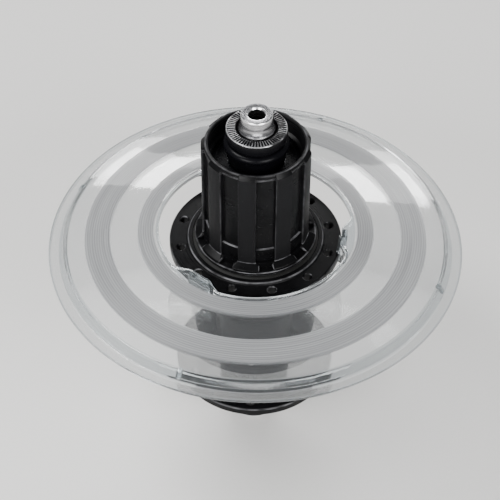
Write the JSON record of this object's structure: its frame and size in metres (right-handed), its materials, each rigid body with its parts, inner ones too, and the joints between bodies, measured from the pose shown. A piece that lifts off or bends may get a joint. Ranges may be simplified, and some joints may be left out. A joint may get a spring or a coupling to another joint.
{
  "type": "rear bicycle hub",
  "caption": "Rear road hub with a cartridge-bearing axle, ratchet freehub body, drilled spoke flanges and a clear spoke protector disc",
  "frame": {"origin": "middle of the axle, on its axis, halfway between the two locknut faces", "axes": "+Z along the axle towards the drive side, X and Y across it"},
  "size_m": [0.136, 0.136, 0.141],
  "materials": {
    "shell_black": "black anodised",
    "freehub_black": "satin black anodised",
    "silver_alloy": "turned bright alloy",
    "black_steel": "black oxide",
    "bearing_steel": "ground bearing steel",
    "black_rubber": "matt seal rubber",
    "cage_plastic": "moulded nylon",
    "clear_plastic": "clear, with two frosted bands"
  },
  "bodies": {
    "axle_assembly": {"axle": "silver_alloy", "drive_end_cap": "black_steel", "drive_locknut": "black_steel", "freehub_bearing_spacer": "bearing_steel", "freehub_inboard_bearing_inner_race": "bearing_steel", "freehub_outboard_bearing_inner_race": "bearing_steel", "inner_spacer_washer": "bearing_steel", "left_end_cap": "black_steel", "left_locknut": "black_steel", "shell_drive_bearing_inner_race": "bearing_steel", "shell_left_bearing_inner_race": "bearing_steel"},
    "hub_shell_assembly": {"hub_shell": "shell_black", "ratchet_ring": "bearing_steel", "freehub_seal": "black_rubber", "left_dust_cap": "black_rubber", "spoke_protector": "clear_plastic", "shell_left_bearing_outer_race": "bearing_steel", "shell_left_bearing_seals": "black_rubber", "shell_drive_bearing_outer_race": "bearing_steel", "shell_drive_bearing_seals": "black_rubber"},
    "freehub_assembly": {"freehub_body": "freehub_black", "freehub_snap_ring": "bearing_steel", "freehub_dust_shield": "black_steel", "pawl_springs": "bearing_steel", "freehub_inboard_bearing_outer_race": "bearing_steel", "freehub_inboard_bearing_seals": "black_rubber", "freehub_outboard_bearing_outer_race": "bearing_steel", "freehub_outboard_bearing_seals": "black_rubber"},
    "pawl_1": {"pawl_1": "bearing_steel"},
    "pawl_2": {"pawl_2": "bearing_steel"},
    "pawl_3": {"pawl_3": "bearing_steel"},
    "shell_left_bearing_balls": {"shell_left_bearing_balls": "bearing_steel", "shell_left_bearing_cage": "cage_plastic"},
    "shell_drive_bearing_balls": {"shell_drive_bearing_balls": "bearing_steel", "shell_drive_bearing_cage": "cage_plastic"},
    "freehub_inboard_bearing_balls": {"freehub_inboard_bearing_balls": "bearing_steel", "freehub_inboard_bearing_cage": "cage_plastic"},
    "freehub_outboard_bearing_balls": {"freehub_outboard_bearing_balls": "bearing_steel", "freehub_outboard_bearing_cage": "cage_plastic"}
  },
  "joints": [
    {"name": "hub_spin", "type": "hinge", "parent": "axle_assembly", "child": "hub_shell_assembly", "pos_m": [0, 0, 0], "axis": [0, 0, 1], "continuous": true},
    {"name": "freehub_spin", "type": "hinge", "parent": "axle_assembly", "child": "freehub_assembly", "pos_m": [0, 0, 0], "axis": [0, 0, 1], "continuous": true},
    {"name": "pawl_1_raise", "type": "hinge", "parent": "freehub_assembly", "child": "pawl_1", "pos_m": [0.0144, 0, 0.01], "axis": [0, 0, 1], "range_deg": [0, 12]},
    {"name": "pawl_2_raise", "type": "hinge", "parent": "freehub_assembly", "child": "pawl_2", "pos_m": [-0.0072, 0.01247, 0.01], "axis": [0, 0, 1], "range_deg": [0, 12]},
    {"name": "pawl_3_raise", "type": "hinge", "parent": "freehub_assembly", "child": "pawl_3", "pos_m": [-0.0072, -0.01247, 0.01], "axis": [0, 0, 1], "range_deg": [0, 12]},
    {"name": "shell_left_bearing_roll", "type": "hinge", "parent": "axle_assembly", "child": "shell_left_bearing_balls", "pos_m": [0, 0, 0], "axis": [0, 0, 1], "continuous": true},
    {"name": "shell_drive_bearing_roll", "type": "hinge", "parent": "axle_assembly", "child": "shell_drive_bearing_balls", "pos_m": [0, 0, 0], "axis": [0, 0, 1], "continuous": true},
    {"name": "freehub_inboard_bearing_roll", "type": "hinge", "parent": "axle_assembly", "child": "freehub_inboard_bearing_balls", "pos_m": [0, 0, 0], "axis": [0, 0, 1], "continuous": true},
    {"name": "freehub_outboard_bearing_roll", "type": "hinge", "parent": "axle_assembly", "child": "freehub_outboard_bearing_balls", "pos_m": [0, 0, 0], "axis": [0, 0, 1], "continuous": true}
  ],
  "couplings": [
    {"joint": "pawl_2_raise", "follows": "pawl_1_raise", "ratio": 1},
    {"joint": "pawl_3_raise", "follows": "pawl_1_raise", "ratio": 1},
    {"joint": "shell_left_bearing_roll", "follows": "hub_spin", "ratio": 0.5898},
    {"joint": "shell_drive_bearing_roll", "follows": "hub_spin", "ratio": 0.5898},
    {"joint": "freehub_inboard_bearing_roll", "follows": "freehub_spin", "ratio": 0.561},
    {"joint": "freehub_outboard_bearing_roll", "follows": "freehub_spin", "ratio": 0.5898}
  ]
}
